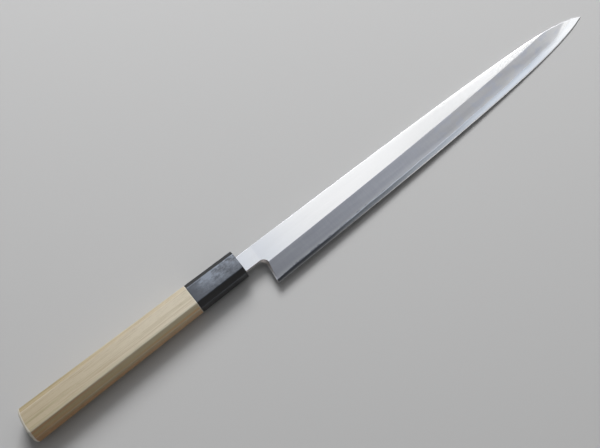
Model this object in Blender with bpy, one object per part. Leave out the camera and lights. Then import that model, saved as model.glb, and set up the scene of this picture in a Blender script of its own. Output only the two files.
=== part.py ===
"""Fuguhiki: a slim single-bevel knife for slicing raw fish paper-thin, 240 mm size, right-handed.

The blade is one forging of soft iron (blade, neck and tang) with a thin layer of hard steel welded to its
hollow-ground back. The tang is set in an octagonal magnolia handle, whose round tenon carries a buffalo-horn ferrule.

Frame: the knife lies on its back, +X runs from the butt to the tip, +Y to the spine and +Z to the bevelled front.
The knife's own axis starts at the butt: x, y and z in the functions below are measured from there.
"""

import math

import bmesh
import bpy
from mathutils import Matrix

# Handle, from the middle of the butt's rim to the face of the ferrule. The crown is the height of the butt's dome.
HANDLE_LENGTH = 0.1471
BUTT_HEIGHT = 0.0198
BUTT_THICKNESS = 0.0172
BUTT_FACET = 0.0038
FRONT_HEIGHT = 0.0160
FRONT_THICKNESS = 0.0139
FRONT_FACET = 0.00307
ARRIS_EASE = 0.0005
BUTT_SLANT = math.radians(5.5)
BUTT_CROWN = 0.0011
BUTT_EASE = 0.0013
FACET_STEPS = 4
END_EASE = 0.0004

# Horn ferrule and the wooden tenon inside it.
FERRULE_LENGTH = 0.0322
FERRULE_FRONT_WALL = 0.0050
TENON_DIAMETER = 0.0110
TENON_LEAD = 0.0006
BORE_CLEARANCE = 0.0003
SEAT_GAP = 0.0003
GLUE_LINE = 0.0001
ROUND_STEPS = 24

# Blade outline, seen from the front.
BLADE_LENGTH = 0.2446
HEEL_FROM_FERRULE = 0.0105
SPINE_ABOVE_AXIS = 0.00425
TIP_BELOW_AXIS = 0.00675
SPINE_ANGLE = math.radians(-0.33)
SPINE_REACH = 0.2000
SPINE_TIP_ANGLE = math.radians(-29.0)
SPINE_TIP_REACH = 0.0170
HEEL_HEIGHT = 0.02675
EDGE_HEEL_ANGLE = math.radians(1.2)
EDGE_HEEL_REACH = 0.1310
EDGE_TIP_ANGLE = math.radians(26.1)
EDGE_TIP_REACH = 0.0206
NECK_HEIGHT = 0.01045
NECK_FILLET = 0.0036
HEEL_RAKE = math.radians(6.2)
HEEL_SLOPE = math.radians(29.0)

# Blade section.
NECK_THICKNESS = 0.0031
HEEL_THICKNESS = 0.0028
TIP_THICKNESS = 0.0015
TAPER_POWER = 1.15
BACK_BELOW_AXIS = 0.0014
BEVEL_AT_HEEL = 0.0126
BEVEL_AT_TIP = 0.0121
BEVEL_TIP_LOSS = 0.0020
BEVEL_LOSS_POWER = 8.0
MICRO_BEVEL = 0.0005
MICRO_BEVEL_ANGLE = math.radians(18.0)
SPINE_EASE = 0.0004
POINT_LENGTH = 0.0005

# Hollow grind of the back, cut by a large wheel that leaves a flat rim.
WHEEL_RADIUS = 0.2400
RIM_AT_SPINE = 0.0020
RIM_AT_EDGE = 0.0016
HOLLOW_FROM_HEEL = 0.0050
HOLLOW_FROM_TIP = 0.0140
HOLLOW_END = 0.0120
HOLLOW_STEPS = 8

# Hard steel layer under the soft iron.
STEEL_AT_HEEL = 0.00053
STEEL_AT_TIP = 0.00063
STEEL_BEHIND_HEEL = 0.0060

# Tang and the socket that is burnt for it, after a drilled pilot hole.
TANG_LENGTH = 0.0950
TANG_ROOT_HEIGHT = 0.0078
TANG_END_HEIGHT = 0.0042
TANG_ROOT_THICKNESS = 0.0024
TANG_END_THICKNESS = 0.0016
TANG_POINT = 0.0040
TANG_CLEARANCE = 0.0003
PILOT_DIAMETER = 0.0042
PILOT_PAST_TANG = 0.0080

STATION_STEP = 0.0045
TIP_STATION_STEP = 0.0012
TIP_STATIONS_FROM = 0.0300
CUTTER_MARGIN = 0.0050

FERRULE_FACE = HANDLE_LENGTH
FERRULE_SEAT = HANDLE_LENGTH - FERRULE_LENGTH
TENON_END = FERRULE_FACE - FERRULE_FRONT_WALL - SEAT_GAP
SHOULDER = TENON_END + SEAT_GAP
TANG_END = SHOULDER - TANG_LENGTH
TIP = FERRULE_FACE + BLADE_LENGTH
HEEL = FERRULE_FACE + HEEL_FROM_FERRULE
EDGE_AT_HEEL = SPINE_ABOVE_AXIS - HEEL_HEIGHT
NECK_BOTTOM = SPINE_ABOVE_AXIS - NECK_HEIGHT
BACK = -BACK_BELOW_AXIS


def clear_scene():
    """Removes every object, so that the file holds only the knife."""
    for old in list(bpy.data.objects):
        bpy.data.objects.remove(old, do_unlink=True)


def mix(a, b, share):
    """Straight blend from a to b."""
    return a + (b - a) * share


def bezier(start, start_angle, start_reach, end, end_angle, end_reach, t):
    """Point at t on a cubic curve that leaves start and enters end at the given angles."""
    first = (start[0] + start_reach * math.cos(start_angle), start[1] + start_reach * math.sin(start_angle))
    second = (end[0] - end_reach * math.cos(end_angle), end[1] - end_reach * math.sin(end_angle))
    weights = ((1 - t) ** 3, 3 * t * (1 - t) ** 2, 3 * t * t * (1 - t), t**3)
    points = (start, first, second, end)
    return tuple(sum(w * p[axis] for w, p in zip(weights, points)) for axis in (0, 1))


def height_at(x, curve):
    """Height of a curve that runs steadily along X, found by halving."""
    low, high = 0.0, 1.0
    for _ in range(48):
        middle = 0.5 * (low + high)
        if bezier(*curve, middle)[0] < x:
            low = middle
        else:
            high = middle
    return bezier(*curve, 0.5 * (low + high))[1]


SPINE_CURVE = (
    (FERRULE_FACE, SPINE_ABOVE_AXIS),
    SPINE_ANGLE,
    SPINE_REACH,
    (TIP, -TIP_BELOW_AXIS),
    SPINE_TIP_ANGLE,
    SPINE_TIP_REACH,
)
EDGE_CURVE = (
    (HEEL, EDGE_AT_HEEL),
    EDGE_HEEL_ANGLE,
    EDGE_HEEL_REACH,
    (TIP, -TIP_BELOW_AXIS),
    EDGE_TIP_ANGLE,
    EDGE_TIP_REACH,
)


def spine_y(x):
    """Top line of the blade, straight inside the handle and bowing down to the tip."""
    return SPINE_ABOVE_AXIS if x <= FERRULE_FACE else height_at(x, SPINE_CURVE)


def edge_y(x):
    """Cutting edge, almost straight for slicing and lifting to the tip."""
    return EDGE_AT_HEEL if x <= HEEL else height_at(x, EDGE_CURVE)


def thickness(x):
    """Thickness of the flat front above the back, thinning from the neck to the tip."""
    if x < HEEL:
        return mix(NECK_THICKNESS, HEEL_THICKNESS, (x - SHOULDER) / (HEEL - SHOULDER))
    left = max(0.0, (TIP - x) / (TIP - HEEL))
    return TIP_THICKNESS + (HEEL_THICKNESS - TIP_THICKNESS) * left**TAPER_POWER


def bevel_width(x):
    """Width of the bevel, measured square to the knife's axis. It is lost faster and faster towards the tip."""
    share = min(1.0, max(0.0, (x - HEEL) / (TIP - HEEL)))
    return mix(BEVEL_AT_HEEL, BEVEL_AT_TIP, share) - BEVEL_TIP_LOSS * share**BEVEL_LOSS_POWER


def hollow_share(x):
    """Share of its full width that the back's hollow has here, with both ends rounded."""
    start, end = HEEL + HOLLOW_FROM_HEEL, TIP - HOLLOW_FROM_TIP
    reach = min((x - start) / HOLLOW_END, (end - x) / (2.5 * HOLLOW_END), 1.0)
    return math.sqrt(max(0.0, 1.0 - (1.0 - reach) ** 2)) if reach > 0 else 0.0


def blade_section(x):
    """Loop of (y, z) round the blade: edge, micro bevel, ridge line, eased spine, then the hollow back."""
    top, edge = spine_y(x), edge_y(x)
    tall = top - edge
    micro = min(MICRO_BEVEL, 0.25 * tall)
    micro_z = BACK + micro * math.tan(MICRO_BEVEL_ANGLE)
    flat_z = BACK + thickness(x)
    ridge = edge + bevel_width(x)

    def front_z(y):
        share = (y - edge - micro) / (ridge - edge - micro)
        return min(flat_z, mix(micro_z, flat_z, share))

    ease = min(SPINE_EASE, 0.12 * tall, 0.3 * (front_z(top) - BACK))
    shoulder = top - ease
    ridge_y = min(ridge, shoulder - 0.04 * tall)
    loop = [(edge, BACK), (edge + micro, micro_z), (ridge_y, front_z(ridge_y))]
    loop += [(shoulder, front_z(shoulder)), (top - 0.3 * ease, front_z(top) - 0.3 * ease)]
    loop += [(top, front_z(top) - ease), (top, BACK + 0.6 * ease), (top - 0.6 * ease, BACK)]
    upper = top - min(RIM_AT_SPINE, 0.25 * tall)
    lower = edge + min(RIM_AT_EDGE, 0.2 * tall)
    middle, half = 0.5 * (upper + lower), 0.5 * (upper - lower)
    open_half = half * max(0.05, hollow_share(x))
    depth = open_half**2 / (2 * WHEEL_RADIUS) if hollow_share(x) > 0 else 0.0
    for step in range(HOLLOW_STEPS + 1):
        across = 1.0 - 2.0 * step / HOLLOW_STEPS
        loop.append((middle + across * open_half, BACK + depth * (1.0 - across * across)))
    return loop


def blade_stations():
    """Places along the blade where its section is taken, closer together towards the tip."""
    last = TIP - POINT_LENGTH
    body_end = TIP - TIP_STATIONS_FROM
    steps = max(2, round((body_end - SHOULDER) / STATION_STEP))
    places = [mix(SHOULDER, body_end, i / steps) for i in range(steps)]
    fine = max(2, round((last - body_end) / TIP_STATION_STEP))
    return places + [mix(body_end, last, i / fine) for i in range(fine + 1)]


def handle_size(x):
    """Height, thickness and corner facet of the octagon at x, planed in one taper through wood and horn."""
    share = x / HANDLE_LENGTH
    return (
        mix(BUTT_HEIGHT, FRONT_HEIGHT, share),
        mix(BUTT_THICKNESS, FRONT_THICKNESS, share),
        mix(BUTT_FACET, FRONT_FACET, share),
    )


def octagon(size, inset=0.0, scale=1.0):
    """Loop of (y, z) of the octagonal section, moved in by inset and then scaled, with its arrises eased."""
    height, thick, facet = size
    y, z = scale * (0.5 * height - inset), scale * (0.5 * thick - inset)
    cut = scale * (facet - inset * (2.0 - math.sqrt(2.0)))
    corners = [(y, z - cut), (y - cut, z), (cut - y, z), (-y, z - cut)]
    corners += [(-y, cut - z), (cut - y, -z), (y - cut, -z), (y, cut - z)]
    loop = []
    for i, (cy, cz) in enumerate(corners):
        near = []
        for oy, oz in (corners[i - 1], corners[(i + 1) % len(corners)]):
            share = min(0.4, scale * ARRIS_EASE / math.hypot(oy - cy, oz - cz))
            near.append((mix(cy, oy, share), mix(cz, oz, share)))
        soft = tuple(0.25 * near[0][k] + 0.5 * (cy, cz)[k] + 0.25 * near[1][k] for k in (0, 1))
        loop += [near[0], soft, near[1]]
    return loop


def round_loop(diameter, count, turn=0.0):
    """Loop of (y, z) round a circle, in the same turning sense as octagon()."""
    steps = [turn + 2.0 * math.pi * i / count for i in range(count)]
    return [(0.5 * diameter * math.cos(a), 0.5 * diameter * math.sin(a)) for a in steps]


def box_loop(bottom, top, back, front):
    """Loop of (y, z) round a rectangle."""
    return [(bottom, back), (top, back), (top, front), (bottom, front)]


def new_object(name, bm, origin):
    """Turns bm into a named object whose origin is at the given place on the knife's axis."""
    bmesh.ops.recalc_face_normals(bm, faces=bm.faces[:])
    bmesh.ops.transform(bm, matrix=Matrix.Translation((-origin, 0.0, 0.0)), verts=bm.verts[:])
    mesh = bpy.data.meshes.new(name)
    bm.to_mesh(mesh)
    bm.free()
    obj = bpy.data.objects.new(name, mesh)
    bpy.context.scene.collection.objects.link(obj)
    obj.location = (origin, 0.0, 0.0)
    return obj


def ring(x, loop):
    """Ring of points in space: a loop of (y, z) stood up at x."""
    return [(x, y, z) for y, z in loop]


def split_facets(loop):
    """Loop of (y, z) of the octagon with further points on each facet, so that the butt's dome can cross it."""
    points = []
    for i, point in enumerate(loop):
        points.append(point)
        if i % 3 == 2:
            ahead = loop[(i + 1) % len(loop)]
            points += [tuple(mix(point[k], ahead[k], step / FACET_STEPS) for k in (0, 1)) for step in range(1, FACET_STEPS)]
    return points


def butt_ring(sink, inset, scale=1.0):
    """Ring of the octagon on the slanting dome of the butt, sunk into the handle by sink."""
    points = []
    for i, (level, depth) in enumerate(split_facets(octagon(handle_size(sink), inset, scale))):
        dome = BUTT_CROWN * ((level * level + depth * depth) / (0.5 * BUTT_THICKNESS) ** 2 - 1.0)
        x = sink + level * math.tan(BUTT_SLANT) + dome
        y, z = split_facets(octagon(handle_size(x), inset, scale))[i]
        points.append((x, y, z))
    return points


def loft(rings, start_apex=None, end_apex=None):
    """Skin through rings of points, each end closed by a flat face or by a fan to an apex."""
    bm = bmesh.new()
    rows = [[bm.verts.new(point) for point in points] for points in rings]
    count = len(rows[0])
    for first, second in zip(rows, rows[1:]):
        for i in range(count):
            j = (i + 1) % count
            bm.faces.new((first[i], first[j], second[j], second[i]))
    for row, apex in ((rows[0], start_apex), (rows[-1], end_apex)):
        if apex is None:
            bm.faces.new(row)
            continue
        point = bm.verts.new(apex)
        for i in range(count):
            bm.faces.new((row[i], row[(i + 1) % count], point))
    return bm


def prism(outline, back, front, lean):
    """Solid made by drawing an outline of (x, y) through from back to front, leaning towards the tip on the way."""
    bm = bmesh.new()
    face = bm.faces.new([bm.verts.new((x, y, back)) for x, y in outline])
    drawn = bmesh.ops.extrude_face_region(bm, geom=[face])["geom"]
    moved = [item for item in drawn if isinstance(item, bmesh.types.BMVert)]
    bmesh.ops.translate(bm, vec=(lean * (front - back), 0.0, front - back), verts=moved)
    return bm


def cutter(name, bm, origin):
    """A tool shape that stays out of the finished knife."""
    obj = new_object(name, bm, origin)
    obj.hide_render = True
    obj.display_type = "WIRE"
    return obj


def boolean(obj, operation, tool):
    """Adds an exact Boolean of obj with a tool shape."""
    modifier = obj.modifiers.new(tool.name, "BOOLEAN")
    modifier.operation = operation
    modifier.solver = "EXACT"
    modifier.object = tool


def material(name, color, roughness, metallic):
    """Plain Principled material."""
    made = bpy.data.materials.new(name)
    made.use_nodes = True
    shader = made.node_tree.nodes["Principled BSDF"]
    shader.inputs["Base Color"].default_value = (*color, 1.0)
    shader.inputs["Roughness"].default_value = roughness
    shader.inputs["Metallic"].default_value = metallic
    return made


def smooth(obj, degrees):
    """Smooth shading that keeps every edge sharper than the angle."""
    obj.data.shade_smooth()
    obj.data.set_sharp_from_angle(angle=math.radians(degrees))


def wood_handle():
    """Magnolia handle: crowned butt, tapered octagon and the round tenon for the ferrule, all one piece."""
    slope = math.atan2(2.0 * BUTT_CROWN, 0.5 * BUTT_THICKNESS)
    rim_inset, rim_sink = BUTT_EASE * (1.0 - math.sin(slope)), BUTT_EASE * (1.0 - math.cos(slope))
    rings = []
    for k in (0.2, 0.4, 0.6, 0.8, 1.0):
        rings.append(butt_ring(rim_sink, rim_inset, k))
    for step in range(1, 6):
        turn = mix(slope, 0.5 * math.pi, step / 5)
        rings.append(butt_ring(BUTT_EASE * (1.0 - math.cos(turn)), BUTT_EASE * (1.0 - math.sin(turn))))
    seat = FERRULE_SEAT - GLUE_LINE
    rings.append(ring(seat - END_EASE, split_facets(octagon(handle_size(seat - END_EASE)))))
    rings.append(ring(seat, split_facets(octagon(handle_size(seat), END_EASE))))
    count = len(rings[0])
    start = math.atan2(rings[0][0][2], rings[0][0][1])
    for x, diameter in (
        (seat, TENON_DIAMETER),
        (TENON_END - TENON_LEAD, TENON_DIAMETER),
        (TENON_END, TENON_DIAMETER - 2.0 * TENON_LEAD),
    ):
        rings.append(ring(x, round_loop(diameter, count, start)))
    crown_top = (rim_sink - BUTT_CROWN, 0.0, 0.0)
    handle = new_object("wood_handle", loft(rings, start_apex=crown_top), 0.0)
    handle.data.materials.append(material("magnolia_wood", (0.60, 0.51, 0.36), 0.62, 0.0))
    smooth(handle, 24)
    return handle


def horn_ferrule():
    """Octagonal horn ferrule, shut at the front apart from the slot that the neck passes through."""
    rings = []
    for x, inset in (
        (FERRULE_SEAT, 0.5 * END_EASE),
        (FERRULE_SEAT + 0.5 * END_EASE, 0.0),
        (FERRULE_FACE - END_EASE, 0.0),
        (FERRULE_FACE, END_EASE),
    ):
        rings.append(ring(x, octagon(handle_size(x), inset)))
    ferrule = new_object("horn_ferrule", loft(rings), FERRULE_SEAT)
    ferrule.data.materials.append(material("buffalo_horn", (0.022, 0.022, 0.026), 0.28, 0.0))
    smooth(ferrule, 24)
    return ferrule


def tang_ring(x, share, clearance=0.0):
    """Tang section at a share of the way from its root to its end, grown by the clearance."""
    half_height = 0.5 * mix(TANG_ROOT_HEIGHT, TANG_END_HEIGHT, share) + clearance
    half_thick = 0.5 * mix(TANG_ROOT_THICKNESS, TANG_END_THICKNESS, share) + clearance
    return ring(x, box_loop(-half_height, half_height, -half_thick, half_thick))


def tang():
    """Tapered tang with a chisel point, rooted inside the neck."""
    rings = [tang_ring(TANG_END, 1.0), tang_ring(TANG_END + TANG_POINT, 1.0)]
    rings[0] = [(x, 0.4 * y, 0.5 * z) for x, y, z in rings[0]]
    rings += [tang_ring(SHOULDER, 0.0), tang_ring(SHOULDER + 0.5 * HEEL_FROM_FERRULE, 0.0)]
    return cutter("tang_forging", loft(rings), SHOULDER)


def tang_socket():
    """Space burnt into the wood for the tang, open at the tenon's end."""
    slope = 1.0 / (SHOULDER - TANG_END)
    start, end = TANG_END - TANG_CLEARANCE, TENON_END + CUTTER_MARGIN
    rings = [tang_ring(x, (SHOULDER - x) * slope, TANG_CLEARANCE) for x in (start, end)]
    return cutter("tang_socket", loft(rings), SHOULDER)


def pilot_hole():
    """Round hole drilled before the socket is burnt, a little deeper than the tang."""
    start, end = TANG_END - PILOT_PAST_TANG, TENON_END + CUTTER_MARGIN
    rings = [ring(x, round_loop(PILOT_DIAMETER, ROUND_STEPS)) for x in (start, end)]
    return cutter("pilot_hole", loft(rings), SHOULDER)


def ferrule_bore():
    """Blind round bore from the back of the ferrule, clear of the tenon."""
    start, end = FERRULE_SEAT - CUTTER_MARGIN, FERRULE_FACE - FERRULE_FRONT_WALL
    loop = round_loop(TENON_DIAMETER + 2.0 * BORE_CLEARANCE, 2 * ROUND_STEPS)
    return cutter("ferrule_bore", loft([ring(start, loop), ring(end, loop)]), FERRULE_SEAT)


def neck_slot():
    """Slot through the ferrule's front wall, clear of the neck all round."""
    back, front = BACK - TANG_CLEARANCE, BACK + NECK_THICKNESS + TANG_CLEARANCE
    loop = box_loop(NECK_BOTTOM - TANG_CLEARANCE, SPINE_ABOVE_AXIS + TANG_CLEARANCE, back, front)
    start, end = FERRULE_FACE - FERRULE_FRONT_WALL - 0.5 * CUTTER_MARGIN, FERRULE_FACE + CUTTER_MARGIN
    return cutter("neck_slot", loft([ring(start, loop), ring(end, loop)]), FERRULE_FACE)


def heel_cut():
    """Everything ground away under the neck and behind the heel, whose front edge slopes off for the finger."""
    rake, slope = math.tan(HEEL_RAKE), math.tan(HEEL_SLOPE)
    corner_x = HEEL + (NECK_BOTTOM - EDGE_AT_HEEL) * rake
    sweep = 0.5 * math.pi + HEEL_RAKE
    run = NECK_FILLET * math.tan(0.5 * sweep)
    centre_x, centre_y = corner_x - run, NECK_BOTTOM - NECK_FILLET
    low = EDGE_AT_HEEL - CUTTER_MARGIN
    outline = [(SHOULDER - CUTTER_MARGIN, low), (SHOULDER - CUTTER_MARGIN, NECK_BOTTOM)]
    for step in range(11):
        turn = 0.5 * math.pi - sweep * step / 10
        outline.append((centre_x + NECK_FILLET * math.cos(turn), centre_y + NECK_FILLET * math.sin(turn)))
    outline.append((HEEL - CUTTER_MARGIN * rake, low))
    outline = [(x - CUTTER_MARGIN * slope, y) for x, y in outline]
    front = BACK + NECK_THICKNESS + CUTTER_MARGIN
    return cutter("heel_cut", prism(outline, BACK - CUTTER_MARGIN, front, slope), HEEL)


def steel_layer():
    """Space of the hard steel: all of the blade behind one slanting weld plane."""
    start, end = HEEL - STEEL_BEHIND_HEEL, TIP + CUTTER_MARGIN
    rise = (STEEL_AT_TIP - STEEL_AT_HEEL) / (TIP - HEEL)
    bottom, top = EDGE_AT_HEEL - CUTTER_MARGIN, SPINE_ABOVE_AXIS + CUTTER_MARGIN
    rings = []
    for x in (start, end):
        weld = BACK + STEEL_AT_HEEL + rise * (x - HEEL)
        rings.append(ring(x, box_loop(bottom, top, BACK - CUTTER_MARGIN, weld)))
    return cutter("steel_layer", loft(rings), HEEL)


def blade_blank():
    """The whole blade before it is parted into iron and steel, with full depth behind the heel."""
    rings = [ring(x, blade_section(x)) for x in blade_stations()]
    return loft(rings, end_apex=(TIP, -TIP_BELOW_AXIS, BACK + 0.1 * SPINE_EASE))


def build_blade():
    """Soft iron body with neck and tang, and the hard steel behind it, parted by the same weld plane."""
    heel, root, layer = heel_cut(), tang(), steel_layer()
    body = new_object("blade_soft_iron", blade_blank(), HEEL)
    body.data.materials.append(material("soft_iron", (0.47, 0.48, 0.50), 0.36, 1.0))
    smooth(body, 3)
    boolean(body, "DIFFERENCE", heel)
    boolean(body, "UNION", root)
    boolean(body, "DIFFERENCE", layer)
    steel = new_object("blade_edge_steel", blade_blank(), HEEL)
    steel.data.materials.append(material("edge_steel", (0.70, 0.71, 0.73), 0.18, 1.0))
    smooth(steel, 3)
    boolean(steel, "DIFFERENCE", heel)
    boolean(steel, "INTERSECT", layer)
    return [body, steel, heel, root, layer]


def build_handle():
    """Wooden handle with its socket, and the ferrule with its bore and slot."""
    handle, ferrule = wood_handle(), horn_ferrule()
    socket, pilot, bore, slot = tang_socket(), pilot_hole(), ferrule_bore(), neck_slot()
    boolean(handle, "DIFFERENCE", pilot)
    boolean(handle, "DIFFERENCE", socket)
    boolean(ferrule, "DIFFERENCE", bore)
    boolean(ferrule, "DIFFERENCE", slot)
    return [handle, ferrule, socket, pilot, bore, slot]


def main():
    """Builds the knife and sets its frame: middle of the whole in plan, lowest face at zero."""
    clear_scene()
    pieces = build_handle() + build_blade()
    root = bpy.data.objects.new("fuguhiki_knife", None)
    bpy.context.scene.collection.objects.link(root)
    butt_x = min(v.co.x for v in pieces[0].data.vertices)
    top = max(0.5 * BUTT_HEIGHT, SPINE_ABOVE_AXIS)
    root.location = (-0.5 * (butt_x + TIP), -0.5 * (top + EDGE_AT_HEEL), 0.5 * BUTT_THICKNESS)
    for piece in pieces:
        piece.parent = root


main()
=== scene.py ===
"""Looks of a fuguhiki knife: a slim single-bevel slicing knife with a magnolia handle and a horn ferrule.

Lengths are in metres. Each piece is shaped on the knife's own axis, which starts in the middle of the butt's
rim and runs along +X to the tip, with +Y towards the spine and +Z out of the bevelled front. It is set in the
frame at the end.
"""

import logging
import math
from collections.abc import Callable, Collection, Sequence
from dataclasses import dataclass, field
from enum import Enum, IntEnum

import bmesh
import bpy
from bmesh.types import BMEdge, BMesh, BMFace, BMVert
from mathutils import Matrix, Vector


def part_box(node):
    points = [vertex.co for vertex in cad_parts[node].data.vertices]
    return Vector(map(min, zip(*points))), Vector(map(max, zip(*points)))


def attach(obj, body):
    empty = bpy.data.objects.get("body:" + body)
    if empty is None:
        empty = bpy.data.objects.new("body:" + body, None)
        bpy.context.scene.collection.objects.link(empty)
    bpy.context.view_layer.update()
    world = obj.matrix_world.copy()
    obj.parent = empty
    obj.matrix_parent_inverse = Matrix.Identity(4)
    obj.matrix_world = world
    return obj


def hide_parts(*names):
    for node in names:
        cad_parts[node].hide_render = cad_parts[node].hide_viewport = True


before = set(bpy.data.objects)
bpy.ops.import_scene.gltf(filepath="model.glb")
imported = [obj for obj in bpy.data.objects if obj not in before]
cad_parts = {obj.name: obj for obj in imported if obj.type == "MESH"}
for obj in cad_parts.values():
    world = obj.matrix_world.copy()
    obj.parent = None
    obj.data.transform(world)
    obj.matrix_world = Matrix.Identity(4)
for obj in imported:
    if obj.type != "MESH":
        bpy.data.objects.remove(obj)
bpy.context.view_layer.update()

LOG = logging.getLogger("fuguhiki")

Point = tuple[float, float]
Place = tuple[float, float, float]
Colour = tuple[float, float, float]
Move = Callable[[Vector], Vector]

SAME_PLACE = 1e-6
NEARLY_WHOLE = 0.9
HALVINGS = 26
FROM_WELD = "from_weld"


def mix(a: float, b: float, share: float) -> float:
    """Returns the straight blend from a to b."""
    return a + (b - a) * share


def clamp(value: float, low: float, high: float) -> float:
    """Returns value, held between low and high."""
    return max(low, min(high, value))


class Slot(Enum):
    """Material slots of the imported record."""

    WOOD = "magnolia_wood"
    HORN = "buffalo_horn"
    IRON = "soft_iron"
    STEEL = "edge_steel"


# Shader sums


class Wire:
    """Output of a node, on which sums are written as on a number."""

    def __init__(self, graph: "Graph", socket: bpy.types.NodeSocket | None) -> None:
        """Wraps socket, an output of a node in graph, if the node has one."""
        self.graph = graph
        self.socket = socket

    def sum(self, operation: str, *values: "Wire | float") -> "Wire":
        """Returns a Math node's result on the values."""
        return self.graph.node("ShaderNodeMath", {"operation": operation}, dict(enumerate(values)))

    def __add__(self, other: "Wire | float") -> "Wire":
        """Returns self + other."""
        return self.sum("ADD", self, other)

    def __radd__(self, other: float) -> "Wire":
        """Returns other + self."""
        return self.sum("ADD", other, self)

    def __sub__(self, other: "Wire | float") -> "Wire":
        """Returns self - other."""
        return self.sum("SUBTRACT", self, other)

    def __rsub__(self, other: float) -> "Wire":
        """Returns other - self."""
        return self.sum("SUBTRACT", other, self)

    def __mul__(self, other: "Wire | float") -> "Wire":
        """Returns self * other."""
        return self.sum("MULTIPLY", self, other)

    def __rmul__(self, other: float) -> "Wire":
        """Returns other * self."""
        return self.sum("MULTIPLY", other, self)

    def __truediv__(self, other: "Wire | float") -> "Wire":
        """Returns self / other."""
        return self.sum("DIVIDE", self, other)

    def __pow__(self, other: float) -> "Wire":
        """Returns self to the power other."""
        return self.sum("POWER", self, other)

    def __mod__(self, other: float) -> "Wire":
        """Returns what is left of self after whole steps of other."""
        return self.sum("FLOORED_MODULO", self, other)

    def __abs__(self) -> "Wire":
        """Returns the size of self without its sign."""
        return self.sum("ABSOLUTE", self)

    def least(self, other: "Wire | float") -> "Wire":
        """Returns the lower of self and other."""
        return self.sum("MINIMUM", self, other)

    def most(self, other: "Wire | float") -> "Wire":
        """Returns the higher of self and other."""
        return self.sum("MAXIMUM", self, other)

    def ease(self, low: float, high: float) -> "Wire":
        """Returns 0 at low and below, 1 at high and above, and a smooth rise between."""
        settings = {"interpolation_type": "SMOOTHSTEP", "clamp": True}
        return self.graph.node(
            "ShaderNodeMapRange", settings, {"Value": self, "From Min": low, "From Max": high}
        )


class Graph:
    """Node tree of a material or of the world."""

    def __init__(self, owner: bpy.types.Material | bpy.types.World) -> None:
        """Starts an empty tree.

        Args:
            owner: material or world that it is the tree of.
        """
        owner.use_nodes = True
        self.owner = owner
        self.tree = owner.node_tree
        self.tree.nodes.clear()

    @classmethod
    def material(cls, name: str) -> "Graph":
        """Returns the empty tree of a new material."""
        return cls(bpy.data.materials.new(name))

    def node(
        self,
        kind: str,
        settings: dict[str, object] | None = None,
        inputs: dict[str | int, object] | None = None,
        output: str | int = 0,
    ) -> Wire:
        """Adds a node.

        Args:
            kind: type of the node.
            settings: the node's own settings, which are set before its sockets.
            inputs: value or wire of each socket that isn't left as it is.
            output: which output to return.

        Returns:
            The chosen output.
        """
        made = self.tree.nodes.new(kind)
        for name, value in (settings or {}).items():
            setattr(made, name, value)
        for key, value in (inputs or {}).items():
            if isinstance(value, Wire):
                self.tree.links.new(value.socket, made.inputs[key])
            else:
                made.inputs[key].default_value = value
        return Wire(self, made.outputs[output] if made.outputs else None)

    def place(self) -> Wire:
        """Returns the place on the knife's own axis."""
        seen = self.node("ShaderNodeTexCoord", output="Object")
        return self.node("ShaderNodeVectorMath", {"operation": "SUBTRACT"}, {0: seen, 1: ORIGIN})

    def split(self, vector: Wire) -> tuple[Wire, Wire, Wire]:
        """Returns the three parts of a vector."""
        sockets = self.node("ShaderNodeSeparateXYZ", inputs={0: vector}).socket.node.outputs
        return Wire(self, sockets[0]), Wire(self, sockets[1]), Wire(self, sockets[2])

    def attribute(self, name: str) -> Wire:
        """Returns the value of that name that the mesh holds at each of its points."""
        return self.node("ShaderNodeAttribute", {"attribute_name": name}, output="Fac")

    def noise(self, place: Wire, grain: Place, detail: float = 2.0, roughness: float = 0.5) -> Wire:
        """Adds a noise.

        Args:
            place: where it is read.
            grain: how many waves of it there are to a metre, along each axis.
            detail: how many finer layers it has.
            roughness: how strong the finer layers are.

        Returns:
            A value near 0.5.
        """
        stretched = self.node("ShaderNodeVectorMath", {"operation": "MULTIPLY"}, {0: place, 1: grain})
        inputs = {"Vector": stretched, "Scale": 1.0, "Detail": detail, "Roughness": roughness}
        return self.node("ShaderNodeTexNoise", {"noise_dimensions": "3D"}, inputs)

    def tint(self, first: "Wire | Colour", second: "Wire | Colour", share: Wire, way: str = "MIX") -> Wire:
        """Blends two colours.

        Args:
            first: colour that is there where the share is 0.
            second: colour that it goes to.
            share: how far it goes, from 0 to 1.
            way: Blender's name for how the second colour acts on the first.

        Returns:
            The blended colour.
        """
        sides = [value if isinstance(value, Wire) else (*value, 1.0) for value in (first, second)]
        settings = {"data_type": "RGBA", "blend_type": way}
        return self.node("ShaderNodeMix", settings, {0: share, 6: sides[0], 7: sides[1]}, output=2)

    def relief(self, height: Wire, depth: float) -> Wire:
        """Returns the normal of a surface with that height, depth metres from 0 to 1."""
        return self.node("ShaderNodeBump", inputs={"Strength": 1.0, "Distance": depth, "Height": height})

    def seen(self) -> Wire:
        """Tells the rays that show a surface from those that light one.

        Returns:
            A wire that is 1 for rays from the camera, off gloss or through glass, and 0 for soft light.
        """
        path = self.node("ShaderNodeLightPath")
        camera, glossy, clear = (
            Wire(self, path.socket.node.outputs[name])
            for name in ("Is Camera Ray", "Is Glossy Ray", "Is Transmission Ray")
        )
        return camera.most(glossy).most(clear)

    def surface(self, inputs: dict[str, object]) -> bpy.types.Material:
        """Ends the tree in a Principled shader.

        Args:
            inputs: value or wire of each of the shader's sockets that isn't left as it is.

        Returns:
            The material that the tree belongs to.
        """
        shader = self.node("ShaderNodeBsdfPrincipled", inputs=inputs)
        self.node("ShaderNodeOutputMaterial", inputs={"Surface": shader})
        return self.owner


# Shaping


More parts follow.
